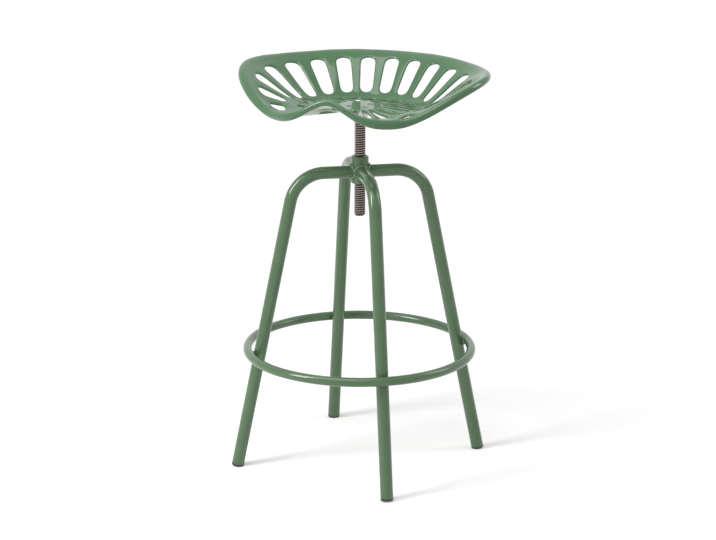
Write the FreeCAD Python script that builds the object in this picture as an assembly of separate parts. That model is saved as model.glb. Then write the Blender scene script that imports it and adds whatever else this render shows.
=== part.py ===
"""Bar stool with a pierced cast-iron tractor seat on a lifting screw.

Frame: origin on the floor under the screw's axis, +Z up, the seat's nose towards -Y, millimetres.
The stool comes apart as it would on a bench: four bent tube legs welded round a threaded hub and
tied by a foot ring, a plug in each leg, a lead screw with a welded plate, a rubber stop ring, and
the seat casting held down by four bolts with washers and nuts.
"""
import FreeCAD, Part
import math
import os

V = FreeCAD.Vector
UP = V(0, 0, 1)
ORIGIN = V(0, 0, 0)

# Legs, bent from round tube
leg_diameter = 22.0
leg_wall = 1.5
leg_count = 4
leg_lean = 11.62            # degrees from upright
leg_turn = 33.9             # degrees from +X to the leg behind on the right
foot_radius = 221.6         # leg axis from the screw's axis, measured at the floor
arm_height = 527.0          # axis of the level arms above the floor
bend_radius = 60.0          # on the tube's axis
foot_gap = 4.4              # floor to the middle of a tube's cut end

# Foot plugs
plug_head = 3.6
plug_round = 1.4
plug_stem = 18.0

# Foot ring, outside the legs
ring_diameter = 16.0
ring_wall = 1.5
ring_height = 206.8
ring_weld_length = 20.0     # along the ring
ring_weld_size = 6.5        # how far the weld stands from the touching point

# Hub
hub_diameter = 31.0
hub_length = 48.5
hub_chamfer = 1.6
hub_below_arms = 20.5       # arm axis down to the hub's lower end
hub_weld_leg = 3.5

# Lead screw
screw_diameter = 20.0
thread_pitch = 4.0
thread_depth = 2.2
crest_share = 0.34          # of the pitch, as the root
screw_end_chamfer = 2.5
screw_below_hub = 58.0      # at rest
thread_clearance = 0.1      # radial, screw in hub
turns_down = 15
plate_spigot = 14.0         # the screw's turned end in the plate
spigot_clearance = 0.05

# Mounting plate and stop ring under the seat
plate_diameter = 60.0
plate_thickness = 5.0
plate_weld_leg = 3.0
stop_ring_diameter = 26.0
stop_ring_clearance = 0.3   # round the screw and under the weld
stop_ring_height = 8.0
stop_ring_round = 1.0

# Seat casting
seat_floor_height = 641.5   # middle of the wall at the seat's centre
seat_wall = 5.0
rim_blend = 15.0            # width over which the wall thickens into the edge
seat_flat = 34.0            # radius of the true flat at the centre
# Rim stations every 15 degrees from the nose to the back: reach from the axis, rise of the edge above the
# floor, and radius of the thick rolled edge
rim_reach = {"nose": 153.0, "nose_side": 157.5, "thigh": 160.0, "thigh_side": 163.0, "hip": 182.0,
             "hip_side": 203.5, "haunch": 217.5, "haunch_side": 217.5, "side": 207.0, "side_back": 195.0,
             "shoulder": 187.5, "shoulder_back": 184.0, "back": 183.5}
rim_rise = {"nose": 34.5, "nose_side": 17.0, "thigh": 1.5, "thigh_side": 0.0, "hip": 16.5,
            "hip_side": 41.5, "haunch": 56.0, "haunch_side": 59.0, "side": 59.0, "side_back": 60.5,
            "shoulder": 62.0, "shoulder_back": 62.0, "back": 62.0}
rim_round = {"nose": 5.8, "nose_side": 6.4, "thigh": 8.4, "thigh_side": 8.4, "hip": 7.4,
             "hip_side": 7.2, "haunch": 7.2, "haunch_side": 7.2, "side": 6.8, "side_back": 6.5,
             "shoulder": 6.5, "shoulder_back": 6.5, "back": 6.5}
bowl_start_front = 0.30     # share of the reach where the bowl leaves the flat
bowl_start_back = 0.54
bowl_start_blend = 0.15     # share of the front slope over which it bends up from the flat
rim_land = 8.0              # level land inside the rolled edge, at the back
hollow_depth = 8.0          # sitting hollow round the flat, fading out towards the nose

# Slots through the seat, all pointing at one centre; their widths are shares of the arc between neighbours
slot_positions = 23         # round the whole circle
slot_centre_forward = 4.0   # slots' centre, from the screw's axis towards the nose
outer_slot_count = 19       # centred on the back, so that the nose stays solid
outer_slot_start = 121.0    # from the slots' centre
outer_slot_end_back = 0.905  # share of the reach
outer_slot_end_front = 0.88
front_start_shift = 22.0    # how far the foremost slots start and end further out, which is less and less
front_end_shift = 10.0      # for the slots behind them
front_shift_fall = 4
outer_slot_inner_share = 0.64
outer_slot_outer_share = 0.57
outer_slot_round = 10.5
inner_slot_start = 42.0     # from the slots' centre
inner_slot_end = 107.0
inner_slot_inner_share = 0.55
inner_slot_outer_share = 0.50
inner_slot_round = 2.8
slot_round_limit = 0.45     # of a slot's smaller side that one corner may take
slot_cutter_reach = 25.0    # how far a cutter stands out of the wall, above and below

# Seat bolts
bolt_count = 4
bolt_circle = 40.0
bolt_diameter = 6.0
bolt_clearance = 0.2
bolt_head_diameter = 12.0
bolt_head_taper = 3.3       # height of the countersunk part
bolt_head_proud = 0.3       # flat rim of the head, above the seat's floor
bolt_stick_out = 1.4        # thread showing past the nut
socket_width = 4.0
socket_depth = 2.0
washer_diameter = 12.0
washer_thickness = 1.6
nut_width = 10.0
nut_height = 5.0

# Heights that follow from the sizes above
hub_bottom = arm_height - hub_below_arms
hub_top = hub_bottom + hub_length
screw_bottom = hub_bottom - screw_below_hub
seat_underside = seat_floor_height - seat_wall / 2
seat_top = seat_floor_height + seat_wall / 2
plate_bottom = seat_underside - plate_thickness
stop_ring_top = plate_bottom - plate_weld_leg - stop_ring_clearance
stop_ring_bottom = stop_ring_top - stop_ring_height
stop_landing_gap = stop_ring_bottom - hub_top - turns_down * thread_pitch   # seat wound right down
lean = math.radians(leg_lean)
leg_names = ["back_right", "back_left", "front_left", "front_right"]


def leg_radius_at(height):
    """Distance of a leg's axis from the screw's axis at a height."""
    return foot_radius - height * math.tan(lean)


ring_radius = leg_radius_at(ring_height) + (leg_diameter + ring_diameter) / 2 / math.cos(lean)


def turned(shape, degrees):
    """A copy of the shape turned about the screw's axis."""
    copy = shape.copy()
    copy.rotate(ORIGIN, UP, degrees)
    return copy


def leg_angle(index):
    return leg_turn + index * 360.0 / leg_count


def revolved(points):
    """Solid of revolution about Z from (radius, height) points."""
    wire = Part.makePolygon([V(r, 0, z) for r, z in points + points[:1]])
    return Part.Face(wire).revolve(ORIGIN, UP, 360)


# Legs

foot_end = V(leg_radius_at(foot_gap), 0, foot_gap)
leg_down = V(math.sin(lean), 0, -math.cos(lean))


def leg_path(start):
    """Axis of one leg from its arm at radius start, round the bend, down to the foot."""
    corner = V(leg_radius_at(arm_height), 0, arm_height)
    half_turn = (math.pi / 2 - lean) / 2
    tangent = bend_radius * math.tan(half_turn)
    bend_in = corner - V(tangent, 0, 0)
    bend_out = corner + leg_down * tangent
    centre = bend_in - UP * bend_radius
    middle = centre + V(math.sin(half_turn), 0, math.cos(half_turn)) * bend_radius
    arm = Part.LineSegment(V(start, 0, arm_height), bend_in).toShape()
    bend = Part.Arc(bend_in, middle, bend_out).toShape()
    leg = Part.LineSegment(bend_out, foot_end).toShape()
    return Part.Wire([arm, bend, leg])


def swept_rod(diameter, start):
    section = Part.Wire(Part.makeCircle(diameter / 2, V(start, 0, arm_height), V(1, 0, 0)))
    return leg_path(start).makePipeShell([section], True, False)


def side_wedges():
    """Blocks either side of one leg's quarter, which stop neighbours meeting at the hub."""
    size = leg_diameter * 2
    block = Part.makeBox(size * 2, size, size * 2, V(-size, 0, arm_height - size))
    half_quarter = 180.0 / leg_count
    return [turned(block, half_quarter), turned(block.mirror(ORIGIN, V(0, 1, 0)), -half_quarter)]


def make_leg():
    """One bent tube, coped to the hub."""
    start = hub_diameter / 4
    tube = swept_rod(leg_diameter, start).cut(swept_rod(leg_diameter - 2 * leg_wall, start))
    cope = Part.makeCylinder(hub_diameter / 2, hub_length, V(0, 0, hub_bottom))
    return tube.cut(cope).cut(side_wedges()[0]).cut(side_wedges()[1])


def make_plug():
    """Plug with a stem in the tube and a head that is worn flat where it meets the floor."""
    head = Part.makeCylinder(leg_diameter / 2, plug_head, foot_end, leg_down)
    lower = [e for e in head.Edges if e.Closed and e.CenterOfMass.z < foot_gap - plug_head / 2]
    head = head.makeFillet(plug_round, lower)
    bore = leg_diameter / 2 - leg_wall
    stem = Part.makeCylinder(bore - spigot_clearance, plug_stem, foot_end, leg_down * -1)
    floor = Part.makeBox(leg_diameter * 2, leg_diameter * 2, leg_diameter,
                         V(foot_end.x - leg_diameter, -leg_diameter, -leg_diameter))
    return head.fuse(stem).removeSplitter().cut(floor)


def make_hub_weld():
    """Fillet of weld round one arm where it meets the hub."""
    inner = leg_diameter / 2
    length = hub_diameter / 2 + hub_weld_leg
    cone = Part.makeCone(inner + hub_weld_leg + 2.0, inner + 0.2, length,
                         V(hub_diameter / 6, 0, arm_height), V(1, 0, 0))
    arm = Part.makeCylinder(inner, length * 2, V(0, 0, arm_height), V(1, 0, 0))
    hub = Part.makeCylinder(hub_diameter / 2, hub_length * 2, V(0, 0, hub_bottom - hub_length / 2))
    weld = cone.cut(arm).cut(hub)
    return weld.cut(side_wedges()[0]).cut(side_wedges()[1])


# Foot ring

def make_ring():
    outer = Part.makeTorus(ring_radius, ring_diameter / 2)
    inner = Part.makeTorus(ring_radius, ring_diameter / 2 - ring_wall)
    ring = outer.cut(inner)
    ring.translate(V(0, 0, ring_height))
    return ring


def make_ring_weld():
    """Weld in the nook between one leg and the ring, above and below the touching point."""
    touch = V(ring_radius - ring_diameter / 2 * math.cos(lean), 0,
              ring_height - ring_diameter / 2 * math.sin(lean))
    lump = Part.makeSphere(1.0)
    stretch = FreeCAD.Matrix()
    stretch.scale(V(ring_weld_size, ring_weld_length / 2, ring_weld_size))
    lump = lump.transformGeometry(stretch)
    lump.translate(touch)
    axis_top = V(leg_radius_at(ring_height * 1.5), 0, ring_height * 1.5)
    leg = Part.makeCylinder(leg_diameter / 2, ring_height, axis_top, leg_down)
    ring = Part.makeTorus(ring_radius, ring_diameter / 2)
    ring.translate(V(0, 0, ring_height))
    return lump.cut(leg).cut(ring)


# Hub, screw, plate and stop ring

def make_hub():
    bore = screw_diameter / 2 + thread_clearance
    outer = hub_diameter / 2
    return revolved([
        (bore, hub_bottom + hub_chamfer), (bore + hub_chamfer, hub_bottom),
        (outer - hub_chamfer, hub_bottom), (outer, hub_bottom + hub_chamfer),
        (outer, hub_top - hub_chamfer), (outer - hub_chamfer, hub_top),
        (bore + hub_chamfer, hub_top), (bore, hub_top - hub_chamfer)])


def make_screw():
    """Lead screw with its trapezoid thread drawn as rings one pitch apart."""
    major = screw_diameter / 2
    minor = major - thread_depth
    crest = crest_share * thread_pitch
    flank = (thread_pitch - 2 * crest) / 2
    profile = [(0.0, screw_bottom), (major - screw_end_chamfer, screw_bottom)]
    height = screw_bottom + screw_end_chamfer
    profile.append((major, height))
    shoulder = plate_bottom
    while height + crest + thread_pitch < shoulder:
        height += crest
        profile.append((major, height))
        height += flank
        profile.append((minor, height))
        height += crest
        profile.append((minor, height))
        height += flank
        profile.append((major, height))
    spigot = plate_spigot / 2
    profile += [(major, shoulder), (spigot, shoulder), (spigot, seat_underside), (0.0, seat_underside)]
    return revolved(profile)


def ring_of_holes(count, circle, radius, bottom, height):
    holes = []
    for index in range(count):
        angle = math.radians((index + 0.5) * 360.0 / count)
        centre = V(circle / 2 * math.cos(angle), circle / 2 * math.sin(angle), bottom)
        holes.append(Part.makeCylinder(radius, height, centre))
    return holes


def make_plate():
    plate = Part.makeCylinder(plate_diameter / 2, plate_thickness, V(0, 0, plate_bottom))
    spigot_hole = plate_spigot / 2 + spigot_clearance
    plate = plate.cut(Part.makeCylinder(spigot_hole, plate_thickness, V(0, 0, plate_bottom)))
    hole = bolt_diameter / 2 + bolt_clearance
    for drill in ring_of_holes(bolt_count, bolt_circle, hole, plate_bottom, plate_thickness):
        plate = plate.cut(drill)
    return plate


def make_plate_weld():
    inner = screw_diameter / 2
    low = plate_bottom - plate_weld_leg
    return revolved([(inner, low), (inner + plate_weld_leg, plate_bottom), (inner, plate_bottom)])


def make_stop_ring():
    inner = screw_diameter / 2 + stop_ring_clearance
    outer = stop_ring_diameter / 2
    ring = Part.makeCylinder(outer, stop_ring_height, V(0, 0, stop_ring_bottom))
    ring = ring.makeFillet(stop_ring_round, [e for e in ring.Edges if e.Closed])
    return ring.cut(Part.makeCylinder(inner, stop_ring_height, V(0, 0, stop_ring_bottom)))


# Seat casting

def cosine_series(stations):
    """Terms of the even cosine curve that passes through evenly spaced stations."""
    values = list(stations.values())
    last = len(values) - 1
    terms = []
    for order in range(last + 1):
        total = 0.0
        for index, value in enumerate(values):
            weight = 0.5 if index in (0, last) else 1.0
            total += weight * value * math.cos(order * index * math.pi / last)
        scale = (1.0 if order in (0, last) else 2.0) / last
        terms.append(total * scale)
    return terms


reach_terms = cosine_series(rim_reach)
rise_terms = cosine_series(rim_rise)
round_terms = cosine_series(rim_round)


def reach_at(angle):
    """Reach of the rim's edge at an angle from the nose, in radians."""
    return sum(term * math.cos(order * angle) for order, term in enumerate(reach_terms))


def rise_at(angle):
    return sum(term * math.cos(order * angle) for order, term in enumerate(rise_terms))


def round_at(angle):
    """Radius of the rolled edge at an angle from the nose."""
    return sum(term * math.cos(order * angle) for order, term in enumerate(round_terms))


def ease(share):
    """Smooth step from 0 to 1 with level ends."""
    share = min(max(share, 0.0), 1.0)
    return share * share * (3.0 - 2.0 * share)


def ramp(share):
    """Straight slope from 0 to 1 that bends up softly at its foot."""
    share = min(max(share, 0.0), 1.0)
    bent = share * share / (2.0 * bowl_start_blend)
    straight = share - bowl_start_blend / 2
    return (bent if share < bowl_start_blend else straight) / (1.0 - bowl_start_blend / 2)


def wall_height(angle, radius):
    """Height of the middle of the seat's wall: a straight slope at the nose, a bowl with a land at the back."""
    blend = (1.0 - math.cos(angle)) / 2
    start = (bowl_start_front + (bowl_start_back - bowl_start_front) * blend) * reach_at(angle)
    end = reach_at(angle) - rim_land * blend
    share = (radius - start) / (end - start)
    climb = rise_at(angle) * ((1.0 - blend) * ramp(share) + blend * ease(share))
    across = min(max((radius - seat_flat) / (reach_at(angle) - seat_flat), 0.0), 1.0)
    hollow = hollow_depth * math.sin(math.pi * across) ** 2 * (1.0 - (1.0 - blend) ** 2)
    return seat_floor_height + climb - hollow


def half_wall(angle, radius):
    """Half the wall's thickness, which swells into the rolled edge."""
    share = (radius - (reach_at(angle) - rim_blend)) / rim_blend
    return seat_wall / 2 + (round_at(angle) - seat_wall / 2) * ease(share)


def section_points(angle):
    """Closed section of the wall at one angle, from the flat's underside round the edge and back."""
    reach = reach_at(angle)
    steps = 12
    step = 0.5
    pole_swell = 1.12           # poles stand outside the curve that they shape
    lower = []
    upper = []
    for index in range(steps + 1):
        radius = seat_flat + (reach - seat_flat) * index / steps
        rise = wall_height(angle, radius + step) - wall_height(angle, radius - step)
        slope = math.atan(rise / (2 * step)) if index else 0.0
        thick = half_wall(angle, radius)
        middle = wall_height(angle, radius)
        away = thick * math.sin(slope)
        lift = thick * math.cos(slope)
        lower.append((radius + away, middle - lift))
        upper.append((radius - away, middle + lift))
    edge = []
    for degrees in (-50, 0, 50):
        turn = math.radians(degrees)
        swell = round_at(angle) * pole_swell
        edge.append((reach + swell * math.cos(turn), seat_floor_height + rise_at(angle) + swell * math.sin(turn)))
    return lower + edge + upper[::-1]


def make_seat_blank():
    """Seat before its slots: one smooth surface round the wall, closed by two flats."""
    columns = 72
    poles = []
    for index in range(columns):
        angle = 2 * math.pi * index / columns
        row = [V(r * math.sin(angle), -r * math.cos(angle), z) for r, z in section_points(angle)]
        poles.append(row)
    across = len(poles[0])
    round_knots = list(range(columns + 1))
    across_knots = list(range(across - 2))
    across_repeats = [4] + [1] * (across - 4) + [4]
    surface = Part.BSplineSurface()
    surface.buildFromPolesMultsKnots(poles, [1] * len(round_knots), across_repeats,
                                     round_knots, across_knots, True, False, 3, 3)
    wall = surface.toShape()
    flats = [Part.Face(Part.Wire(e)) for e in wall.Edges if e.Closed and e.BoundBox.ZLength < 0.01]
    shell = Part.makeShell([wall] + flats)
    shell.sewShape()
    blank = Part.makeSolid(shell)
    if blank.Volume < 0:
        blank.reverse()
    return blank


def from_axis(turn, distance):
    """Angle from the nose and radius of a point given from the slots' centre, turned from the back."""
    across = distance * math.sin(math.radians(turn))
    behind = distance * math.cos(math.radians(turn)) - slot_centre_forward
    return math.atan2(across, -behind), math.hypot(across, behind)


def frontness(turn):
    """Zero for a slot at the back, one at the nose."""
    return (1.0 - math.cos(math.radians(turn))) / 2


def outer_start_distance(turn):
    return outer_slot_start + front_start_shift * frontness(turn) ** front_shift_fall


def outer_end_distance(turn):
    """How far an outer slot runs from the slots' centre, found by halving."""
    front = frontness(turn)
    end_share = outer_slot_end_back + (outer_slot_end_front - outer_slot_end_back) * front
    near = 0.0
    far = 2 * max(rim_reach.values())
    for step in range(40):
        middle = (near + far) / 2
        angle, radius = from_axis(turn, middle)
        if radius < end_share * reach_at(angle):
            near = middle
        else:
            far = middle
    return near + front_end_shift * front ** front_shift_fall


def slot_cutter(turn, start, end, start_share, end_share, rounding):
    """Tapered block with round corners that pierces the wall square to the slot's own slope."""
    low = wall_height(*from_axis(turn, start))
    high = wall_height(*from_axis(turn, end))
    length = math.hypot(end - start, high - low)
    slope = math.degrees(math.atan2(high - low, end - start))
    arc = 2 * math.pi / slot_positions
    start_width = start_share * arc * start
    end_width = end_share * arc * end
    corners = [V(-start_width / 2, 0, -slot_cutter_reach), V(-end_width / 2, length, -slot_cutter_reach),
               V(end_width / 2, length, -slot_cutter_reach), V(start_width / 2, 0, -slot_cutter_reach)]
    block = Part.Face(Part.makePolygon(corners + corners[:1])).extrude(V(0, 0, 2 * slot_cutter_reach))
    upright = [e for e in block.Edges if e.BoundBox.ZLength > slot_cutter_reach]
    rounding = min(rounding, slot_round_limit * min(start_width, length))
    block = block.makeFillet(rounding, upright)
    block.rotate(ORIGIN, V(1, 0, 0), slope)
    block.translate(V(0, start, low))
    block = turned(block, -turn)
    block.translate(V(0, -slot_centre_forward, 0))
    return block


bolt_place = V(bolt_circle / 2, 0, 0)


def countersink(clearance):
    """Cone of a countersunk head up to the seat's floor, larger all round by a clearance."""
    return Part.makeCone(bolt_diameter / 2 + clearance, bolt_head_diameter / 2 + clearance, bolt_head_taper,
                         V(0, 0, seat_top - bolt_head_taper))


def slot_cutters():
    pitch = 360.0 / slot_positions
    cutters = []
    for index in range(outer_slot_count):
        turn = (index - (outer_slot_count - 1) / 2) * pitch
        cutters.append(slot_cutter(turn, outer_start_distance(turn), outer_end_distance(turn),
                                   outer_slot_inner_share, outer_slot_outer_share, outer_slot_round))
    for index in range(slot_positions):
        cutters.append(slot_cutter((index + 0.5) * pitch, inner_slot_start, inner_slot_end,
                                   inner_slot_inner_share, inner_slot_outer_share, inner_slot_round))
    return cutters


def make_seat():
    """The blank with its slots, and a countersunk hole for each bolt."""
    seat = make_seat_blank()
    hole = bolt_diameter / 2 + bolt_clearance
    drills = ring_of_holes(bolt_count, bolt_circle, hole, seat_underside - 1, seat_wall + 2)
    sink = countersink(spigot_clearance)
    sink.translate(bolt_place)
    sinks = [turned(sink, (index + 0.5) * 360.0 / bolt_count) for index in range(bolt_count)]
    return seat.cut(slot_cutters() + drills + sinks)


# Seat fasteners, laid out at the first bolt place and turned to the others

def make_bolt():
    """Countersunk bolt with a hexagon socket."""
    washer_bottom = plate_bottom - washer_thickness
    end = washer_bottom - nut_height - bolt_stick_out
    shank = Part.makeCylinder(bolt_diameter / 2, seat_top - end, V(0, 0, end))
    rim = Part.makeCylinder(bolt_head_diameter / 2, bolt_head_proud, V(0, 0, seat_top))
    socket = hexagon(socket_width, socket_depth, seat_top + bolt_head_proud - socket_depth)
    bolt = shank.fuse([countersink(0.0), rim]).removeSplitter().cut(socket)
    bolt.translate(bolt_place)
    return bolt


def hexagon(width, height, bottom):
    corner = width / 2 / math.cos(math.pi / 6)
    points = [V(corner * math.cos(math.radians(a)), corner * math.sin(math.radians(a)), bottom)
              for a in range(0, 420, 60)]
    return Part.Face(Part.makePolygon(points)).extrude(V(0, 0, height))


def make_washer():
    low = plate_bottom - washer_thickness
    washer = Part.makeCylinder(washer_diameter / 2, washer_thickness, V(0, 0, low))
    washer = washer.cut(Part.makeCylinder(bolt_diameter / 2 + bolt_clearance, washer_thickness, V(0, 0, low)))
    washer.translate(bolt_place)
    return washer


def make_nut():
    low = plate_bottom - washer_thickness - nut_height
    nut = hexagon(nut_width, nut_height, low)
    nut = nut.cut(Part.makeCylinder(bolt_diameter / 2 + spigot_clearance, nut_height, V(0, 0, low)))
    nut.translate(bolt_place)
    return nut


def main():
    pieces = {"hub": make_hub(), "foot_ring": make_ring()}
    leg = make_leg()
    plug = make_plug()
    hub_weld = make_hub_weld()
    ring_weld = make_ring_weld()
    for index, name in enumerate(leg_names):
        pieces["leg_" + name] = turned(leg, leg_angle(index))
        pieces["foot_plug_" + name] = turned(plug, leg_angle(index))
        pieces["hub_weld_" + name] = turned(hub_weld, leg_angle(index))
        pieces["ring_weld_" + name] = turned(ring_weld, leg_angle(index))
    pieces["stop_ring"] = make_stop_ring()
    pieces["lead_screw"] = make_screw()
    pieces["mounting_plate"] = make_plate()
    pieces["plate_weld"] = make_plate_weld()
    pieces["seat"] = make_seat()
    bolt = make_bolt()
    washer = make_washer()
    nut = make_nut()
    for index in range(bolt_count):
        angle = (index + 0.5) * 360.0 / bolt_count
        pieces["seat_bolt_%d" % (index + 1)] = turned(bolt, angle)
        pieces["bolt_washer_%d" % (index + 1)] = turned(washer, angle)
        pieces["bolt_nut_%d" % (index + 1)] = turned(nut, angle)
    print("Wound right down, the stop ring stands %.2f mm above the hub" % stop_landing_gap)
    os.makedirs("parts", exist_ok=True)
    for name, shape in pieces.items():
        shape.exportStep("parts/" + name + ".step")
        state = "valid" if shape.isValid() else "NOT VALID"
        print(name, len(shape.Solids), "solid", round(shape.Volume), "mm3", state)


main()
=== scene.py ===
# %% [markdown]
# # A bar stool with a pierced tractor seat
# The stool is four bent tubes welded round a threaded hub, a foot ring, a lead screw and a cast seat.
# The construction is already packed: every tube, plug, bolt and washer comes in at its real place.
# This lesson dresses it. The pieces whose form says most are modelled anew, namely the enamelled seat,
# the screw with its true helical thread and the weld beads, and the others get their finishes.

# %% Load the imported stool
import bpy
import math
from mathutils import Matrix, Vector


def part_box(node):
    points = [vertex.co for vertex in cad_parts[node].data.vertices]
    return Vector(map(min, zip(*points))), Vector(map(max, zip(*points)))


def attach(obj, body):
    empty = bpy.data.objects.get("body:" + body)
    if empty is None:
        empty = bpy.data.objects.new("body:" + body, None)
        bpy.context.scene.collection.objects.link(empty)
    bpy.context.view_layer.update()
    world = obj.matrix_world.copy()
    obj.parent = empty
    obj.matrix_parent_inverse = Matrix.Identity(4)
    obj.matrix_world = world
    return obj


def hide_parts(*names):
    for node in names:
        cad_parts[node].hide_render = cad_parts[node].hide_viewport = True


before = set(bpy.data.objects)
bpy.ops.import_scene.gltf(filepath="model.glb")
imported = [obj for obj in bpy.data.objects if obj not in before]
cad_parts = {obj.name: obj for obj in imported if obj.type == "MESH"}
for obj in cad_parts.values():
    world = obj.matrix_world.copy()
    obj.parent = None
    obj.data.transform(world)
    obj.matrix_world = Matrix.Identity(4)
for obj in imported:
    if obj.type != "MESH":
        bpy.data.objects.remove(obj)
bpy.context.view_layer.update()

# %% [markdown]
# ## The camera
# The photograph was taken from a little right of the nose, looking down by about fifteen degrees
# through a long lens. Working from a target point, a distance and three angles keeps each of these
# readable, where a bare matrix would say nothing. The lens is given for a 36 mm wide sensor.

# %% Place the camera
view_target = Vector((-0.0025, -0.0010, 0.3487))
view_distance = 3.7916
view_azimuth = math.radians(21.4)
view_elevation = math.radians(15.56)
view_roll = math.radians(0.168)
lens_length = 108.28
sensor_width = 36.0
far_limit = 100.0               # metres, past the end of the floor

camera_turn = (Matrix.Rotation(view_azimuth, 4, "Z") @ Matrix.Rotation(math.pi / 2 - view_elevation, 4, "X")
               @ Matrix.Rotation(view_roll, 4, "Z"))
bpy.ops.object.select_all(action="DESELECT")
bpy.ops.object.camera_add()
camera = bpy.context.object
camera.name = "photo_camera"
camera_place = view_target + camera_turn.to_3x3() @ Vector((0, 0, view_distance))
camera.matrix_world = Matrix.Translation(camera_place) @ camera_turn
camera.data.lens = lens_length
camera.data.sensor_width = sensor_width
camera.data.clip_end = far_limit
bpy.context.scene.camera = camera
print("Camera at", [round(value, 3) for value in camera.location])

# %% [markdown]
# ## Floor and light
# The stool stands in a white studio. The world is plain white for whatever the camera and the glossy
# surfaces see, and a softer grey for the light that it gives, so that the background stays white while
# the paint keeps its colour. Soft boxes to the left, right and above draw the long highlights.
# The floor is an ordinary pale surface, so the stool's own soft shadow stays on it. A little glow of its
# own, which only the camera and reflections see, lifts its far end to the white of the world.

# %% Make the white world
bpy.context.scene.view_settings.view_transform = "Standard"
world_light = 0.44

world = bpy.data.worlds.new("white_studio")
bpy.context.scene.world = world
world.use_nodes = True
sky = world.node_tree
sky.nodes.clear()


def seen_directly(tree):
    """One for rays from the camera, off a glossy surface or through a clear one, and nought for light."""
    path = tree.nodes.new("ShaderNodeLightPath")
    socket = path.outputs["Is Camera Ray"]
    for kind in ("Is Glossy Ray", "Is Transmission Ray"):
        either = tree.nodes.new("ShaderNodeMath")
        either.operation = "MAXIMUM"
        tree.links.new(socket, either.inputs[0])
        tree.links.new(path.outputs[kind], either.inputs[1])
        socket = either.outputs[0]
    return socket


strength = sky.nodes.new("ShaderNodeMapRange")
strength.inputs["To Min"].default_value = world_light
strength.inputs["To Max"].default_value = 1.0
sky.links.new(seen_directly(sky), strength.inputs["Value"])
backdrop = sky.nodes.new("ShaderNodeBackground")
backdrop.inputs["Color"].default_value = (1.0, 1.0, 1.0, 1.0)
sky.links.new(strength.outputs["Result"], backdrop.inputs["Strength"])
sky.links.new(backdrop.outputs[0], sky.nodes.new("ShaderNodeOutputWorld").inputs["Surface"])
print("World strength for light", world_light, "and for what is seen", 1.0)

# %% Lay the floor
floor_size = 60.0
floor_colour = (0.95, 0.95, 0.945, 1.0)
glow_reach = (0.5, 3.0)         # metres from the stool where the glow starts to grow and where it is full
floor_glow = (0.18, 0.58)       # at those two places

bpy.ops.object.select_all(action="DESELECT")
bpy.ops.mesh.primitive_plane_add(size=floor_size)
floor = bpy.context.object
floor.name = "studio_floor"
floor_finish = bpy.data.materials.new("studio_floor")
floor_finish.use_nodes = True
floor_shader = floor_finish.node_tree.nodes["Principled BSDF"]
floor_shader.inputs["Base Color"].default_value = floor_colour
floor_shader.inputs["Roughness"].default_value = 1.0
floor_shader.inputs["Specular IOR Level"].default_value = 0.0
floor_tree = floor_finish.node_tree
floor_place = floor_tree.nodes.new("ShaderNodeTexCoord")
from_stool = floor_tree.nodes.new("ShaderNodeVectorMath")
from_stool.operation = "LENGTH"
floor_tree.links.new(floor_place.outputs["Object"], from_stool.inputs[0])
far_glow = floor_tree.nodes.new("ShaderNodeMapRange")
for socket, value in zip(("From Min", "From Max", "To Min", "To Max"), (*glow_reach, *floor_glow)):
    far_glow.inputs[socket].default_value = value
floor_tree.links.new(from_stool.outputs["Value"], far_glow.inputs["Value"])
glow = floor_tree.nodes.new("ShaderNodeMath")
glow.operation = "MULTIPLY"
floor_tree.links.new(far_glow.outputs["Result"], glow.inputs[0])
floor_tree.links.new(seen_directly(floor_tree), glow.inputs[1])
floor_tree.links.new(glow.outputs[0], floor_shader.inputs["Emission Strength"])
floor_shader.inputs["Emission Color"].default_value = (1.0, 1.0, 1.0, 1.0)
floor.data.materials.append(floor_finish)
print("Floor", floor_size, "m wide")

# %% Hang the soft boxes
light_target = Vector((0.0, 0.0, 0.45))


def soft_box(name, azimuth, elevation, distance, width, height, power):
    """One rectangular lamp that faces the stool, placed by its direction from it in degrees."""
    turn = math.radians(azimuth)
    lift = math.radians(elevation)
    away = Vector((math.sin(turn) * math.cos(lift), -math.cos(turn) * math.cos(lift), math.sin(lift)))
    bpy.ops.object.light_add(type="AREA", location=light_target + away * distance)
    lamp = bpy.context.object
    lamp.name = name
    lamp.rotation_euler = away.to_track_quat("Z", "Y").to_euler()
    lamp.data.shape = "RECTANGLE"
    lamp.data.size = width
    lamp.data.size_y = height
    lamp.data.energy = power


soft_box("left_box", azimuth=-42.0, elevation=32.0, distance=2.4, width=0.70, height=1.3, power=36.0)
soft_box("right_box", azimuth=118.0, elevation=34.0, distance=2.4, width=0.6, height=1.2, power=10.0)
soft_box("top_box", azimuth=-20.0, elevation=70.0, distance=2.2, width=1.6, height=1.6, power=21.0)

# %% [markdown]
# ## Shader helpers
# A finish is a small tree of nodes. Two helpers keep such a tree short to write: one puts down a node
# with its settings and feeds its sockets, and one mixes two colours by a mask. Effects that more than
# one finish uses become node groups with named sockets, which is how they would be shared by hand.

# %% Helpers for node trees
def put(tree, kind, feeds=None, **settings):
    """One node. feeds gives its sockets a number, a colour or the socket that drives them."""
    made = tree.nodes.new("ShaderNode" + kind)
    made.location = (190 * (len(tree.nodes) % 9), -230 * (len(tree.nodes) // 9))
    for name, value in settings.items():
        setattr(made, name, value)
    for name, value in (feeds or {}).items():
        if isinstance(value, bpy.types.NodeSocket):
            tree.links.new(value, made.inputs[name])
        else:
            made.inputs[name].default_value = value
    return made


def blend_colours(tree, share, first, second):
    """Mix from the first colour to the second by a mask, and return the colour's socket."""
    made = put(tree, "Mix", {0: share, 6: first, 7: second}, data_type="RGBA")
    return made.outputs[2]


def between(tree, value, low, high, new_low=0.0, new_high=1.0):
    """Spread a value's range from low to high over a new range, and return its socket."""
    feeds = {"Value": value, "From Min": low, "From Max": high, "To Min": new_low, "To Max": new_high}
    return put(tree, "MapRange", feeds).outputs["Result"]


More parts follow.
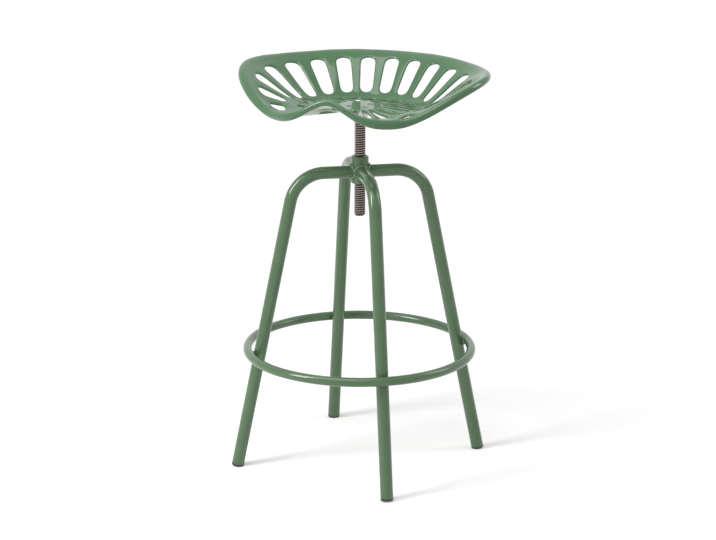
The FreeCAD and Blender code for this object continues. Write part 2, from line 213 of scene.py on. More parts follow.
def times(tree, first, second):
    return put(tree, "Math", {0: first, 1: second}, operation="MULTIPLY").outputs[0]


def new_group(name, inputs, outputs):
    """An empty shader group with named sockets, and its inner ends."""
    tree = bpy.data.node_groups.new(name, "ShaderNodeTree")
    for label, (kind, value) in inputs.items():
        socket = tree.interface.new_socket(label, in_out="INPUT", socket_type="NodeSocket" + kind)
        socket.default_value = value
    for label, kind in outputs.items():
        tree.interface.new_socket(label, in_out="OUTPUT", socket_type="NodeSocket" + kind)
    return tree, tree.nodes.new("NodeGroupInput").outputs, tree.nodes.new("NodeGroupOutput").inputs


def use_group(tree, name, feeds):
    made = put(tree, "Group", node_tree=bpy.data.node_groups[name])
    for label, value in feeds.items():
        if isinstance(value, bpy.types.NodeSocket):
            tree.links.new(value, made.inputs[label])
        else:
            made.inputs[label].default_value = value
    return made.outputs


print("Shader helpers ready")

# %% [markdown]
# ## Shared effects
# Sprayed paint is never one colour: it lies thicker here and thinner there. It also dries with a fine
# ripple like orange peel. Edges are where it wears. In nooks the colour is darkened by ambient occlusion,
# which is painted shade. Worked steel shows streaks along its length. Each of these becomes a group that
# reads Object coordinates, so that it sits on the metal and not on the view.

# %% Group: drifting tone
def make_tone_group():
    """A colour that drifts softly towards a second one, with the mask it drifts by."""
    sockets = {"Color": ("Color", (0.5, 0.5, 0.5, 1.0)), "Deep": ("Color", (0.2, 0.2, 0.2, 1.0)),
               "Scale": ("Float", 10.0), "Amount": ("Float", 0.5)}
    tree, given, out = new_group("drifting_tone", sockets, {"Color": "Color", "Mask": "Float"})
    place = put(tree, "TexCoord").outputs["Object"]
    grain = {"Vector": place, "Scale": given["Scale"], "Detail": 5.0, "Roughness": 0.6}
    cloud = put(tree, "TexNoise", grain).outputs[0]
    mask = times(tree, between(tree, cloud, 0.35, 0.68), given["Amount"])
    tree.links.new(blend_colours(tree, mask, given["Color"], given["Deep"]), out["Color"])
    tree.links.new(mask, out["Mask"])
    return tree


print("Group made:", make_tone_group().name)

# %% Group: paint ripple
def make_ripple_group():
    """A normal with fine orange peel over broader unevenness, both in metres of height."""
    sockets = {"Fine Scale": ("Float", 400.0), "Fine Height": ("Float", 0.00002),
               "Broad Scale": ("Float", 40.0), "Broad Height": ("Float", 0.0001)}
    tree, given, out = new_group("paint_ripple", sockets, {"Normal": "Vector"})
    place = put(tree, "TexCoord").outputs["Object"]
    normal = None
    for kind in ("Broad", "Fine"):
        waves = put(tree, "TexNoise", {"Vector": place, "Scale": given[kind + " Scale"], "Detail": 2.0})
        bump = put(tree, "Bump", {"Height": waves.outputs[0], "Distance": given[kind + " Height"]})
        if normal:
            tree.links.new(normal, bump.inputs["Normal"])
        normal = bump.outputs[0]
    tree.links.new(normal, out["Normal"])
    return tree


print("Group made:", make_ripple_group().name)

# %% Group: edge wear
def make_edge_group():
    """A mask that is strong on outer edges, broken up by grain."""
    sockets = {"Radius": ("Float", 0.0012), "Amount": ("Float", 0.5), "Grain Scale": ("Float", 160.0)}
    tree, given, out = new_group("edge_wear", sockets, {"Mask": "Float"})
    place = put(tree, "TexCoord").outputs["Object"]
    rounded = put(tree, "Bevel", {"Radius": given["Radius"]}, samples=4).outputs[0]
    surface = put(tree, "NewGeometry").outputs["Normal"]
    alike = put(tree, "VectorMath", {0: rounded, 1: surface}, operation="DOT_PRODUCT").outputs["Value"]
    edge = between(tree, alike, 0.995, 0.86)
    grain = put(tree, "TexNoise", {"Vector": place, "Scale": given["Grain Scale"], "Detail": 4.0})
    broken = times(tree, edge, between(tree, grain.outputs[0], 0.42, 0.66))
    tree.links.new(times(tree, broken, given["Amount"]), out["Mask"])
    return tree


print("Group made:", make_edge_group().name)

# %% Group: painted shade in nooks
def make_nook_group():
    """A mask of painted shade, strong where surfaces close in on each other."""
    sockets = {"Reach": ("Float", 0.01), "Amount": ("Float", 0.5), "Cloud Scale": ("Float", 60.0)}
    tree, given, out = new_group("painted_nook_shade", sockets, {"Mask": "Float"})
    place = put(tree, "TexCoord").outputs["Object"]
    open_share = put(tree, "AmbientOcclusion", {"Distance": given["Reach"]}, samples=6).outputs["AO"]
    closed = between(tree, open_share, 0.85, 0.35)
    cloud = put(tree, "TexNoise", {"Vector": place, "Scale": given["Cloud Scale"], "Detail": 3.0})
    broken = times(tree, closed, between(tree, cloud.outputs[0], 0.3, 0.6, 0.4, 1.0))
    tree.links.new(times(tree, broken, given["Amount"]), out["Mask"])
    return tree


print("Group made:", make_nook_group().name)

# %% Group: streaks of worked steel
def make_streak_group():
    """A mask of streaks, drawn out along Z or round it by the stretch given."""
    sockets = {"Stretch": ("Vector", (1.0, 1.0, 0.1)), "Scale": ("Float", 300.0)}
    tree, given, out = new_group("steel_streaks", sockets, {"Mask": "Float"})
    place = put(tree, "TexCoord").outputs["Object"]
    drawn = put(tree, "VectorMath", {0: place, 1: given["Stretch"]}, operation="MULTIPLY").outputs[0]
    grain = {"Vector": drawn, "Scale": given["Scale"], "Detail": 5.0, "Roughness": 0.65}
    streak = put(tree, "TexNoise", grain).outputs[0]
    tree.links.new(between(tree, streak, 0.3, 0.7), out["Mask"])
    return tree


print("Group made:", make_streak_group().name)

# %% [markdown]
# ## The green paints
# The seat is dipped and enamelled, so it is glossy. The tubes are sprayed in nearly the same green, and
# over the welds that coat lies lumpy; the welds' green is made a little paler as a painted highlight,
# standing in for the glints on the lumps. All three paints are darkened in their nooks as painted shade.
# One function makes all three, since they differ only in colour, gloss and the size of their ripple.

# %% Mix the paints
finishes = {}
# painted shade: the dark colour that the nooks are darkened towards
nook_shade_colour = (0.030, 0.040, 0.022, 1.0)
rubbed_paint = (0.20, 0.27, 0.19, 1.0)
nook_reach = 0.012
worn_edge = 0.0012
coat_roughness = 0.08
drift = 0.7


def new_finish(slot):
    """A finish for one material slot of the record, with its tree and its shader's sockets."""
    finish = bpy.data.materials.new(slot)
    finish.use_nodes = True
    finishes[slot] = finish
    return finish.node_tree, finish.node_tree.nodes["Principled BSDF"].inputs


def ripple_surface(tree, shader, fine_scale, fine_height, broad_scale, broad_height):
    """Feed a shader's normal with the shared ripple."""
    sizes = {"Fine Scale": fine_scale, "Fine Height": fine_height,
             "Broad Scale": broad_scale, "Broad Height": broad_height}
    tree.links.new(use_group(tree, "paint_ripple", sizes)["Normal"], shader["Normal"])


def make_paint(slot, colour, deep, tone_scale, gloss, coat, worn, nook_shade, ripple):
    """A green paint. gloss is the roughness in its first tone and in its deeper one."""
    tree, shader = new_finish(slot)
    drifting = {"Color": colour, "Deep": deep, "Scale": tone_scale, "Amount": drift}
    tone = use_group(tree, "drifting_tone", drifting)
    # The nook mask darkens the colour in nooks as painted shade.
    nook = use_group(tree, "painted_nook_shade", {"Reach": nook_reach, "Amount": nook_shade})
    edge = use_group(tree, "edge_wear", {"Radius": worn_edge, "Amount": worn})
    shaded_tone = blend_colours(tree, nook["Mask"], tone["Color"], nook_shade_colour)
    tree.links.new(blend_colours(tree, edge["Mask"], shaded_tone, rubbed_paint), shader["Base Color"])
    tree.links.new(between(tree, tone["Mask"], 0.0, drift, *gloss), shader["Roughness"])
    ripple_surface(tree, shader, *ripple)
    shader["Coat Weight"].default_value = coat
    shader["Coat Roughness"].default_value = coat_roughness


make_paint("seat_green", (0.053, 0.145, 0.059, 1.0), (0.041, 0.118, 0.045, 1.0), tone_scale=16.0,
           gloss=(0.13, 0.20), coat=0.20, worn=0.5, nook_shade=0.3, ripple=(330.0, 0.00002, 55.0, 0.00010))
make_paint("frame_green", (0.072, 0.148, 0.064, 1.0), (0.058, 0.120, 0.051, 1.0), tone_scale=22.0,
           gloss=(0.15, 0.25), coat=0.25, worn=0.4, nook_shade=0.6, ripple=(700.0, 0.00001, 90.0, 0.00004))
# The welds' green is paler than the tubes' as a painted highlight, standing in for the glints on the lumpy
# beads.
make_paint("weld_green", (0.082, 0.190, 0.084, 1.0), (0.064, 0.152, 0.066, 1.0), tone_scale=60.0,
           gloss=(0.14, 0.24), coat=0.30, worn=0.3, nook_shade=0.8, ripple=(500.0, 0.00003, 160.0, 0.00020))
print("Paints:", sorted(finishes))

# %% [markdown]
# ## Steel, plastic and rubber
# The lead screw is bare steel that has been oiled: its crests are rubbed bright, its roots hold dark
# grease. The distance from the screw's axis tells crest from root, so the thread needs no painted map.
# Bolts, nuts and washers are zinc plated, and the bolt heads were painted with the seat, so whatever
# stands above the seat's floor is green. The foot plugs are moulded plastic with scuffs near the
# floor, and the stop ring is plain rubber.

# %% Oiled screw steel
screw_radius = 0.010
thread_depth = 0.0022
crest_glint = 0.0002            # the crest's bright skin, measured in from the screw's outside
root_grease = (0.060, 0.042, 0.038, 1.0)
dull_steel = (0.230, 0.185, 0.172, 1.0)
rubbed_steel = (0.400, 0.350, 0.335, 1.0)
thread_roughness = (0.55, 0.32)     # in the root and on the crest


def make_screw_steel():
    tree, shader = new_finish("screw_steel")
    place = put(tree, "TexCoord").outputs["Object"]
    level = put(tree, "VectorMath", {0: place, 1: (1.0, 1.0, 0.0)}, operation="MULTIPLY").outputs[0]
    radius = put(tree, "VectorMath", {0: level}, operation="LENGTH").outputs["Value"]
    crest = between(tree, radius, screw_radius - thread_depth, screw_radius - crest_glint)
    streak = use_group(tree, "steel_streaks", {"Stretch": (1.0, 1.0, 0.35), "Scale": 420.0})["Mask"]
    oily = blend_colours(tree, streak, dull_steel, rubbed_steel)
    tree.links.new(blend_colours(tree, crest, root_grease, oily), shader["Base Color"])
    tree.links.new(between(tree, crest, 0.0, 1.0, *thread_roughness), shader["Roughness"])
    ripple_surface(tree, shader, 1400.0, 0.00002, 300.0, 0.00003)
    shader["Metallic"].default_value = 0.85


make_screw_steel()
print("Finish made: screw_steel")

# %% Zinc plate for the fasteners
painted_from = 0.6438           # just under the top of the seat's floor, where the bolt heads come out
paint_line = 0.0001             # how soft the paint's lower edge is
fresh_zinc = (0.56, 0.57, 0.55, 1.0)
dull_zinc = (0.36, 0.36, 0.33, 1.0)
# painted shade: the dark colour that the zinc is darkened towards in its nooks
zinc_nook_shade = (0.05, 0.045, 0.035, 1.0)
head_paint = (0.066, 0.155, 0.073, 1.0)
zinc_roughness = (0.22, 0.38)


def make_bolt_steel():
    tree, shader = new_finish("bolt_steel")
    drifting = {"Color": fresh_zinc, "Deep": dull_zinc, "Scale": 190.0, "Amount": 0.8}
    tone = use_group(tree, "drifting_tone", drifting)
    # The nook mask darkens the zinc in its nooks as painted shade.
    nook = use_group(tree, "painted_nook_shade", {"Reach": 0.003, "Amount": 0.8})
    plated = blend_colours(tree, nook["Mask"], tone["Color"], zinc_nook_shade)
    place = put(tree, "TexCoord").outputs["Object"]
    height = put(tree, "SeparateXYZ", {"Vector": place}).outputs["Z"]
    painted = between(tree, height, painted_from, painted_from + paint_line)
    tree.links.new(blend_colours(tree, painted, plated, head_paint), shader["Base Color"])
    tree.links.new(between(tree, painted, 0.0, 1.0, 1.0, 0.0), shader["Metallic"])
    tree.links.new(between(tree, tone["Mask"], 0.0, 0.8, *zinc_roughness), shader["Roughness"])
    ripple_surface(tree, shader, 2200.0, 0.00001, 500.0, 0.00001)


make_bolt_steel()
print("Finish made: bolt_steel")

# %% Moulded plastic and rubber
scuffed_edge = (0.12, 0.12, 0.115, 1.0)


def make_black(slot, colour, scuffed, roughness, fine_height):
    """A dull black moulding, paler where it is scuffed."""
    tree, shader = new_finish(slot)
    drifting = {"Color": colour, "Deep": scuffed, "Scale": 120.0, "Amount": 0.6}
    tone = use_group(tree, "drifting_tone", drifting)
    edge = use_group(tree, "edge_wear", {"Radius": 0.001, "Amount": 0.7, "Grain Scale": 500.0})
    tree.links.new(blend_colours(tree, edge["Mask"], tone["Color"], scuffed_edge), shader["Base Color"])
    tree.links.new(between(tree, tone["Mask"], 0.0, 0.6, *roughness), shader["Roughness"])
    ripple_surface(tree, shader, 1500.0, fine_height, 300.0, 0.00003)


make_black("plug_black", (0.014, 0.014, 0.014, 1.0), (0.040, 0.039, 0.036, 1.0), (0.42, 0.60), 0.00003)
make_black("rubber_black", (0.010, 0.010, 0.010, 1.0), (0.026, 0.025, 0.024, 1.0), (0.62, 0.78), 0.00004)
print("Finishes:", sorted(finishes))

# %% [markdown]
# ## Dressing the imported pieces
# Most of the stool is already in its true form: tubes, plugs, plate, bolts, washers and nuts. They
# keep their meshes and only take the finish of their material slot. The start of a node's name tells
# its kind and so its slot, and a loop can dress them all without a list of every piece.

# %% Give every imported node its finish
slot_by_start = {"leg_": "frame_green", "foot_plug": "plug_black", "foot_ring": "frame_green",
                 "hub_weld": "weld_green", "ring_weld": "weld_green", "plate_weld": "screw_steel",
                 "hub": "frame_green", "mounting_plate": "screw_steel", "lead_screw": "screw_steel",
                 "stop_ring": "rubber_black", "seat_bolt": "bolt_steel", "bolt_": "bolt_steel",
                 "seat": "seat_green"}


def slot_of(name):
    """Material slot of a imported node, by the first start that its name has."""
    return next(slot for start, slot in slot_by_start.items() if name.startswith(start))


for name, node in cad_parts.items():
    node.data.materials.clear()
    node.data.materials.append(finishes[slot_of(name)])
print("Dressed", len(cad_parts), "packed nodes")

# %% [markdown]
# ## Helpers for modelling
# Operators act on whatever is selected, so each piece starts with nothing selected. Faces and edges
# are then picked in code by where they are. A finished mesh keeps its object at the origin, which is
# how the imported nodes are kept, and it rides on the body that it belongs to.

# %% Helpers for new pieces
def in_edit(piece, kind):
    """Open a piece in edit mode for picking vertices, edges or faces, with nothing picked."""
    bpy.context.view_layer.objects.active = piece
    bpy.ops.object.mode_set(mode="EDIT")
    bpy.ops.mesh.select_mode(type=kind)
    bpy.ops.mesh.select_all(action="DESELECT")


def pick(piece, kind, test):
    """Pick the edges or faces that pass a test, and leave the piece open in edit mode."""
    in_edit(piece, kind)
    bpy.ops.object.mode_set(mode="OBJECT")
    parts = piece.data.edges if kind == "EDGE" else piece.data.polygons
    count = 0
    for part in parts:
        part.select = bool(test(part))
        count += part.select
    bpy.ops.object.mode_set(mode="EDIT")
    return count


def leave_edit():
    bpy.ops.object.mode_set(mode="OBJECT")


def apply_modifier(piece, kind, **settings):
    """Add one modifier, set it and apply it."""
    bpy.context.view_layer.objects.active = piece
    modifier = piece.modifiers.new(kind.lower(), kind)
    for name, value in settings.items():
        setattr(modifier, name, value)
    bpy.ops.object.modifier_apply(modifier=modifier.name)


def merge_all(piece, distance=0.00001):
    in_edit(piece, "VERT")
    bpy.ops.mesh.select_all(action="SELECT")
    bpy.ops.mesh.remove_doubles(threshold=distance)
    leave_edit()


def settle(piece, name, body, slot, *stands_for):
    """Name a finished piece, give it its finish and let it ride on its body."""
    piece.name = name
    piece.data.name = name
    piece.data.materials.clear()
    piece.data.materials.append(finishes[slot])
    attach(piece, body)
    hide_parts(*stands_for)
    bpy.ops.object.select_all(action="DESELECT")
    print(name, "has", len(piece.data.polygons), "faces and rides on", body)


# %% [markdown]
# ## The seat's form
# A tractor seat is a shallow bowl with a high back, two thigh hollows and a raised nose. Its outline is
# one smooth closed curve, so it is given by its reach and its rise every fifteen degrees from nose to
# back, and a cosine series passes through them, as it does for the thickness of the rolled edge. The
# wall then climbs from a flat round the screw to the rim, and the rim ends in that rolled edge.

# %% Outline and wall of the seat
seat_floor_height = 0.6415  # middle of the wall at the centre
seat_wall = 0.005
rim_blend = 0.015
seat_flat = 0.034
rim_reach = (0.1530, 0.1575, 0.1600, 0.1630, 0.1820, 0.2035, 0.2175,
             0.2175, 0.2070, 0.1950, 0.1875, 0.1840, 0.1835)
rim_rise = (0.0345, 0.0170, 0.0015, 0.0000, 0.0165, 0.0415, 0.0560,
            0.0590, 0.0590, 0.0605, 0.0620, 0.0620, 0.0620)
rim_round = (0.0058, 0.0064, 0.0084, 0.0084, 0.0074, 0.0072, 0.0072,
             0.0072, 0.0068, 0.0065, 0.0065, 0.0065, 0.0065)
bowl_start_front = 0.30
bowl_start_back = 0.54
bowl_start_blend = 0.15
rim_land = 0.008
hollow_depth = 0.008


def cosine_terms(values):
    """Terms of the even cosine curve through evenly spaced values from nose to back."""
    last = len(values) - 1
    terms = []
    for order in range(last + 1):
        total = 0.0
        for index, value in enumerate(values):
            weight = 0.5 if index in (0, last) else 1.0
            total += weight * value * math.cos(order * index * math.pi / last)
        terms.append(total * (1.0 if order in (0, last) else 2.0) / last)
    return terms


reach_terms = cosine_terms(rim_reach)
rise_terms = cosine_terms(rim_rise)
round_terms = cosine_terms(rim_round)


def reach_at(angle):
    """Reach of the rim from the screw's axis, at an angle from the nose."""
    return sum(term * math.cos(order * angle) for order, term in enumerate(reach_terms))


def rise_at(angle):
    """Rise of the rim above the floor, at an angle from the nose."""
    return sum(term * math.cos(order * angle) for order, term in enumerate(rise_terms))


def round_at(angle):
    """Radius of the rolled edge."""
    return sum(term * math.cos(order * angle) for order, term in enumerate(round_terms))


def ease(share):
    share = min(max(share, 0.0), 1.0)
    return share * share * (3.0 - 2.0 * share)


def ramp(share):
    """Straight slope that bends up softly at its foot."""
    share = min(max(share, 0.0), 1.0)
    bent = share * share / (2.0 * bowl_start_blend)
    straight = share - bowl_start_blend / 2
    return (bent if share < bowl_start_blend else straight) / (1.0 - bowl_start_blend / 2)


def wall_height(angle, radius):
    """Height of the middle of the wall: a straight slope at the nose, a bowl with a land at the back."""
    blend = (1.0 - math.cos(angle)) / 2
    start = (bowl_start_front + (bowl_start_back - bowl_start_front) * blend) * reach_at(angle)
    end = reach_at(angle) - rim_land * blend
    share = (radius - start) / (end - start)
    climb = rise_at(angle) * ((1.0 - blend) * ramp(share) + blend * ease(share))
    across = min(max((radius - seat_flat) / (reach_at(angle) - seat_flat), 0.0), 1.0)
    hollow = hollow_depth * math.sin(math.pi * across) ** 2 * (1.0 - (1.0 - blend) ** 2)
    return seat_floor_height + climb - hollow


print("Seat reaches", round(max(reach_at(math.radians(a)) for a in range(180)) * 1000), "mm at its widest")

# %% [markdown]
# ## The seat's stencil
# The casting is pierced by two rings of slots that all point at one centre. Cutting them out of a
# finished bowl would leave ragged faces, so the sheet is laid out flat first, as a stencil with four
# columns to each slot: the slot's middle, its edge, the bar's middle, and the next slot's edge. The
# inner slots lie where the outer bars end, so the same columns serve both rings. The faces that fall
# inside a slot are deleted while the sheet is still a plain grid.

# %% Lay out rows and columns
slot_positions = 23
slot_centre_forward = 0.004
outer_slot_side = 9             # outer slots on each side of the middle one
outer_slot_start = 0.121
outer_slot_end_back = 0.905     # share of the rim's reach
outer_slot_end_front = 0.88
front_start_shift = 0.022       # how far the foremost slots start and end further out
front_end_shift = 0.010
front_shift_fall = 4
inner_slot_start = 0.042
inner_slot_end = 0.107
middle_rows = (0.0, 0.012, 0.024, 0.034)
inner_rows = (0.0, 0.08, 0.20, 0.36, 0.53, 0.70, 0.86, 1.0)
outer_rows = (0.0, 0.28, 0.50, 0.72, 1.0)
land_rows = (1 / 3, 2 / 3, 1.0)
edge_turns = (54.0, 18.0)       # degrees round the rolled edge, seen from its top
columns = 4 * slot_positions
first_inner = len(middle_rows)
last_inner = first_inner + len(inner_rows) - 1
first_outer = last_inner + 2    # one row lies in the band between the rings
last_outer = first_outer + len(outer_rows) - 1
rim_row = last_outer + len(land_rows)
last_row = rim_row + len(edge_turns)
inner_edge = (0.225, 0.25)      # where a column runs beside an inner slot, from its start to its end
outer_edge = (0.32, 0.285)


def slot_edge_share(row):
    """Where the column beside a slot runs, as a share of the way to the next slot."""
    if row <= first_inner:
        return inner_edge[0]
    if row <= last_inner:
        return inner_edge[0] + (inner_edge[1] - inner_edge[0]) * inner_rows[row - first_inner]
    if row < first_outer:
        return (inner_edge[1] + outer_edge[0]) / 2
    if row <= last_outer:
        return outer_edge[0] + (outer_edge[1] - outer_edge[0]) * outer_rows[row - first_outer]
    return outer_edge[1]


def inside_slot(column, row):
    """Whether the face between this column and row and the next ones lies inside a slot."""
    if first_inner <= row < last_inner:
        return column % 4 in (1, 2)
    if first_outer <= row < last_outer:
        nearest = ((column + 1) // 4 + outer_slot_side) % slot_positions
        return column % 4 in (0, 3) and nearest <= 2 * outer_slot_side
    return False


def grid_place(point):
    """Column and row, as numbers, of a place on the flat grid."""
    return (point.x + 1) / 2 * columns, (point.y + 1) / 2 * last_row


bpy.ops.object.select_all(action="DESELECT")
bpy.ops.mesh.primitive_grid_add(x_subdivisions=columns, y_subdivisions=last_row, size=2)
seat = bpy.context.object
slot_faces = pick(seat, "FACE", lambda face: inside_slot(*(math.floor(v) for v in grid_place(face.center))))
bpy.ops.mesh.delete(type="FACE")
leave_edit()
print("Stencil of", columns, "columns and", last_row, "rows, with", slot_faces, "slot faces cut away")

# %% [markdown]
# ## Wrapping the stencil
# Now the flat sheet is wrapped round the slots' centre. The rows keep their distances where the inner
# slots are, and from the outer slots to the rim they follow the outline. The last two rows stand
# outside the rim and will become the rolled edge. The sheet's two ends meet at the back, and its first
# row closes to a point in the middle, so both are merged.

# %% Wrap and close the sheet
edge_swell = 1.068              # the smoothed edge lies inside its control points by this much
# how far the corners of a slot are drawn in, which rounds its ends
slot_end_pull = {first_outer: 0.0035, last_outer: -0.0050, first_inner: 0.0010, last_inner: -0.0020}


def from_axis(turn, distance):
    """Angle from the nose and radius of a point given from the slots' centre, turned from the back."""
    across = distance * math.sin(turn)
    behind = distance * math.cos(turn) - slot_centre_forward
    return math.atan2(across, -behind), math.hypot(across, behind)


def distance_to(turn, share):
    """Distance from the slots' centre to a share of the rim's reach, found by halving."""
    near = 0.0
    far = 2 * max(rim_reach)
    for halving in range(26):
        middle = (near + far) / 2
        angle, radius = from_axis(turn, middle)
        if radius < share * reach_at(angle):
            near = middle
        else:
            far = middle
    return near


def row_distance(row, turn):
    """Distance of one row from the slots' centre, in the direction of one turn."""
    if row < first_inner:
        return middle_rows[row]
    if row <= last_inner:
        return inner_slot_start + (inner_slot_end - inner_slot_start) * inner_rows[row - first_inner]
    front = (1.0 - math.cos(turn)) / 2
    slot_start = outer_slot_start + front_start_shift * front ** front_shift_fall
    if row < first_outer:
        return (inner_slot_end + slot_start) / 2
    end_share = outer_slot_end_back + (outer_slot_end_front - outer_slot_end_back) * front
    slot_end = distance_to(turn, end_share) + front_end_shift * front ** front_shift_fall
    if row <= last_outer:
        return slot_start + (slot_end - slot_start) * outer_rows[row - first_outer]
    rim = distance_to(turn, 1.0)
    if row <= rim_row:
        return slot_end + (rim - slot_end) * land_rows[row - last_outer - 1]
    swell = round_at(from_axis(turn, rim)[0]) * edge_swell
    return rim + swell * math.cos(math.radians(edge_turns[row - rim_row - 1]))


def wrapped(point):
    """Where a vertex of the flat grid goes in the plan of the seat."""
    column, row = (round(value) for value in grid_place(point))
    edge = slot_edge_share(row)
    turn = (column // 4 + (0.0, edge, 0.5, 1.0 - edge)[column % 4]) * 2 * math.pi / slot_positions
    distance = row_distance(row, turn)
    if column % 2:
        distance += slot_end_pull.get(row, 0.0)
    behind = distance * math.cos(turn) - slot_centre_forward
    return Vector((distance * math.sin(turn), behind, seat_floor_height))


for vertex in seat.data.vertices:
    vertex.co = wrapped(vertex.co)
merge_all(seat)
print("Wrapped sheet has", len(seat.data.vertices), "vertices")

# %% [markdown]
# ## Thickness and smoothing
# Solidify gives the sheet its two sides and closes every slot. It can't know that the wall swells
# into a rolled edge, so the two layers are then set exactly where the form says, each vertex by its
# place in the plan. A light crease keeps the slots' edges crisp, and a subdivision surface rounds the
# slots' ends and the rim. That is the soft look of a casting under a thick coat of enamel.

# %% Thicken, place and smooth the casting
slot_crease = 0.25
slope_step = 0.0005
smoothing = 2                   # times each face is split into four


def wall_sides(x, y):
    """Top and underside of the wall at a place in the plan, or of the rolled edge outside the rim."""
    angle = math.atan2(x, -y)
    radius = math.hypot(x, y)
    reach = reach_at(angle)
    inside = min(radius, reach)
    over = radius - inside
    middle = wall_height(angle, inside)
    slope = 0.0
    if inside > seat_flat:
        slope = math.atan2(middle - wall_height(angle, inside - slope_step), slope_step)
    swell = ease((inside - (reach - rim_blend)) / rim_blend)
    half = seat_wall / 2 + (round_at(angle) - seat_wall / 2) * swell
    if over > 0.0:
        half = math.sqrt(max((round_at(angle) * edge_swell) ** 2 - over ** 2, 0.0))
    sides = []
    for side in (1, -1):
        out = inside + over * math.cos(slope) - side * half * math.sin(slope)
        height = middle + over * math.sin(slope) + side * half * math.cos(slope)
        sides.append(Vector((out * math.sin(angle), -out * math.cos(angle), height)))
    return sides


def on_slot_edge(edge):
    """Whether an edge of the open sheet runs round a slot, and not round the rim."""
    middle = (seat.data.vertices[edge.vertices[0]].co + seat.data.vertices[edge.vertices[1]].co) / 2
    return edge_uses[edge.key] == 1 and middle.xy.length < reach_at(math.atan2(middle.x, -middle.y))


edge_uses = {edge.key: 0 for edge in seat.data.edges}
for face in seat.data.polygons:
    for key in face.edge_keys:
        edge_uses[key] += 1
creased = pick(seat, "EDGE", on_slot_edge)
bpy.ops.transform.edge_crease(value=slot_crease)
leave_edit()
plan = [vertex.co.copy() for vertex in seat.data.vertices]
apply_modifier(seat, "SOLIDIFY", thickness=seat_wall, offset=0.0)
upper_first = seat.data.vertices[0].co.z > seat.data.vertices[len(plan)].co.z
for index, place in enumerate(plan):
    top, under = wall_sides(place.x, place.y)
    seat.data.vertices[index].co = top if upper_first else under
    seat.data.vertices[index + len(plan)].co = under if upper_first else top
apply_modifier(seat, "SUBSURF", levels=smoothing, render_levels=smoothing)
seat.data.shade_smooth()
settle(seat, "seat_casting", "seat", "seat_green", "seat")
print("Creased slot edges:", creased)

# %% [markdown]
# ## The lead screw
# The screw has a trapezoid thread, cut as one continuous right-hand helix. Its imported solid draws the
# thread as plain rings, which is enough for the motion but looks wrong up close. Here the outline of a
# single pitch is swept by the Screw modifier, which lifts it by one pitch each turn. The ends are then
# cut off square, the lower one is chamfered so that it starts easily in the hub, and the upper one is
# turned down to the spigot that sits in the plate.

# %% Sweep the thread
thread_pitch = 0.004
crest_share = 0.34
thread_steps = 48
end_chamfer = 0.0025
spigot_radius = 0.007
screw_low, screw_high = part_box("lead_screw")
shoulder_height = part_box("mounting_plate")[0].z
crest = crest_share * thread_pitch
flank = thread_pitch / 2 - crest
root_radius = screw_radius - thread_depth
thread_start = screw_low.z - thread_pitch
thread_turns = math.ceil((screw_high.z - thread_start) / thread_pitch) + 1
outline = [(root_radius, 0.0), (root_radius, crest), (screw_radius, crest + flank),
           (screw_radius, 2 * crest + flank), (root_radius, thread_pitch)]

bpy.ops.mesh.primitive_circle_add(vertices=len(outline), fill_type="NOTHING")
screw = bpy.context.object
for vertex, (radius, height) in zip(screw.data.vertices, outline):
    vertex.co = (radius, 0.0, thread_start + height)
closing = pick(screw, "EDGE", lambda edge: set(edge.vertices) == {0, len(outline) - 1})
bpy.ops.mesh.delete(type="EDGE")
leave_edit()
apply_modifier(screw, "SCREW", angle=2 * math.pi, screw_offset=thread_pitch, iterations=thread_turns,
               steps=thread_steps, render_steps=thread_steps)
merge_all(screw)
print("Thread of", thread_turns, "turns, with", closing, "closing edge taken out of the outline")

# %% Cut, chamfer and turn down the ends
in_edit(screw, "FACE")
for height, keep_above in ((screw_low.z, True), (shoulder_height, False)):
    bpy.ops.mesh.select_all(action="SELECT")
    bpy.ops.mesh.bisect(plane_co=(0, 0, height), plane_no=(0, 0, 1), use_fill=True,
                        clear_inner=keep_above, clear_outer=not keep_above)
leave_edit()
for vertex in screw.data.vertices:
    limit = screw_radius - end_chamfer + (vertex.co.z - screw_low.z)
    if vertex.co.z < screw_low.z + end_chamfer and vertex.co.xy.length > limit:
        vertex.co.xy = vertex.co.xy.normalized() * limit
pick(screw, "FACE", lambda face: face.normal.z > 0.9 and face.center.z > shoulder_height - 0.0001)
bpy.ops.mesh.extrude_region_move()
bpy.ops.transform.resize(value=(spigot_radius / screw_radius, spigot_radius / screw_radius, 1.0))
bpy.ops.mesh.extrude_region_move(TRANSFORM_OT_translate={"value": (0, 0, screw_high.z - shoulder_height)})
bpy.ops.mesh.select_all(action="SELECT")
bpy.ops.mesh.normals_make_consistent(inside=False)
bpy.ops.mesh.faces_shade_smooth()
leave_edit()
bpy.ops.object.shade_smooth_by_angle(angle=math.radians(25))
settle(screw, "lead_screw_threaded", "seat", "screw_steel", "lead_screw")

# %% [markdown]
# ## Weld beads
# A weld is a row of overlapping puddles laid in the nook between two pieces, and paint softens it but
# doesn't hide it. Each bead starts as a torus. One angle of the torus runs along the seam and the
# other round the bead, so every vertex is moved to the seam plus a little round section, and a wave
# along the seam makes the puddles. The half of the bead that lies inside the metal never shows.

# %% Helpers for beads
def face_outwards(piece):
    """Turn every face of a closed piece outwards and shade it smooth."""
    in_edit(piece, "FACE")
    bpy.ops.mesh.select_all(action="SELECT")
    bpy.ops.mesh.normals_make_consistent(inside=False)
    bpy.ops.mesh.faces_shade_smooth()
    leave_edit()


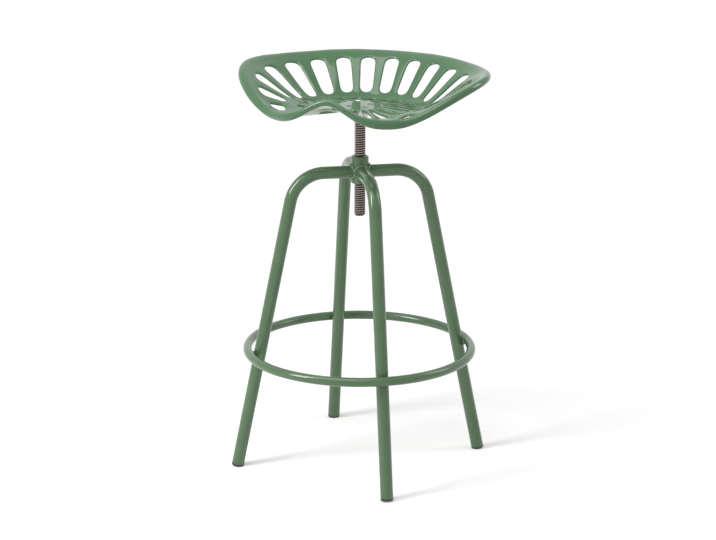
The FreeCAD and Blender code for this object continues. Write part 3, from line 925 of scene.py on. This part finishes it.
def lay_bead(seam, size, puddles, wave, along=96, round_steps=14):
    """A closed bead along a seam. seam(angle) gives its middle, and the two directions of its section."""
    bpy.ops.object.select_all(action="DESELECT")
    bpy.ops.mesh.primitive_torus_add(major_segments=along, minor_segments=round_steps, major_radius=1.0,
                                     minor_radius=0.25)
    bead = bpy.context.object
    for vertex in bead.data.vertices:
        angle = math.atan2(vertex.co.y, vertex.co.x)
        section = math.atan2(vertex.co.z, vertex.co.xy.length - 1.0)
        puddle = abs(math.sin(angle * puddles / 2 + 0.35 * math.sin(3 * angle)))
        radius = size * (1.0 - wave + wave * puddle)
        middle, first, second = seam(angle)
        vertex.co = middle + radius * (first * math.cos(section) + second * math.sin(section))
    face_outwards(bead)
    return bead


def turned_copy(piece, turn):
    """A copy of a piece with its own mesh, turned about the screw's axis."""
    bpy.ops.object.select_all(action="DESELECT")
    piece.select_set(True)
    bpy.context.view_layer.objects.active = piece
    bpy.ops.object.duplicate()
    copy = bpy.context.object
    copy.data.transform(Matrix.Rotation(turn, 4, "Z"))
    return copy


# %% Weld the arms to the hub
arm_height = 0.527
arm_radius = 0.011
hub_radius = 0.0155
hub_bead_size = 0.0038
leg_turn = math.radians(33.9)
leg_names = ("back_right", "back_left", "front_left", "front_right")


def hub_seam(angle):
    """The saddle where an arm along +X meets the hub, with directions out of the arm and along it."""
    out = Vector((0.0, math.sin(angle), math.cos(angle)))
    across = arm_radius * out.y
    middle = Vector((math.sqrt(hub_radius ** 2 - across ** 2), across, arm_height + arm_radius * out.z))
    return middle, out, Vector((1.0, 0.0, 0.0))


hub_bead = lay_bead(hub_seam, hub_bead_size, 22, 0.16)
for index, name in enumerate(leg_names):
    bead = turned_copy(hub_bead, leg_turn + index * math.pi / 2)
    settle(bead, "hub_bead_" + name, "base", "weld_green", "hub_weld_" + name)
bpy.data.objects.remove(hub_bead)

# %% Weld the foot ring to the legs
leg_lean = math.radians(11.62)
foot_radius = 0.2216
ring_height = 0.2068
ring_tube_radius = 0.008
leg_middle = foot_radius - ring_height * math.tan(leg_lean)     # from the axis, at the ring's height
ring_radius = leg_middle + (arm_radius + ring_tube_radius) / math.cos(leg_lean)
ring_weld_length = 0.020
ring_weld_size = 0.0062
touch = Vector((ring_radius - ring_tube_radius * math.cos(leg_lean), 0.0,
                ring_height - ring_tube_radius * math.sin(leg_lean)))

bpy.ops.mesh.primitive_uv_sphere_add(segments=32, ring_count=24, radius=1.0)
lump = bpy.context.object
for vertex in lump.data.vertices:
    along = vertex.co.z
    puddle = 1.0 - 0.10 * abs(math.sin(along * 2.5 * math.pi))
    vertex.co = touch + Vector((vertex.co.x * ring_weld_size * puddle, along * ring_weld_length / 2,
                                vertex.co.y * ring_weld_size * puddle))
face_outwards(lump)
for index, name in enumerate(leg_names):
    bead = turned_copy(lump, leg_turn + index * math.pi / 2)
    settle(bead, "ring_bead_" + name, "base", "weld_green", "ring_weld_" + name)
bpy.data.objects.remove(lump)

# %% Weld the screw to its plate
plate_bead_size = 0.0026


def plate_seam(angle):
    """The circle where the screw meets the plate's underside."""
    out = Vector((math.cos(angle), math.sin(angle), 0.0))
    return out * screw_radius + Vector((0.0, 0.0, shoulder_height)), out, Vector((0.0, 0.0, -1.0))


plate_bead = lay_bead(plate_seam, plate_bead_size, 18, 0.18)
settle(plate_bead, "plate_bead", "seat", "screw_steel", "plate_weld")
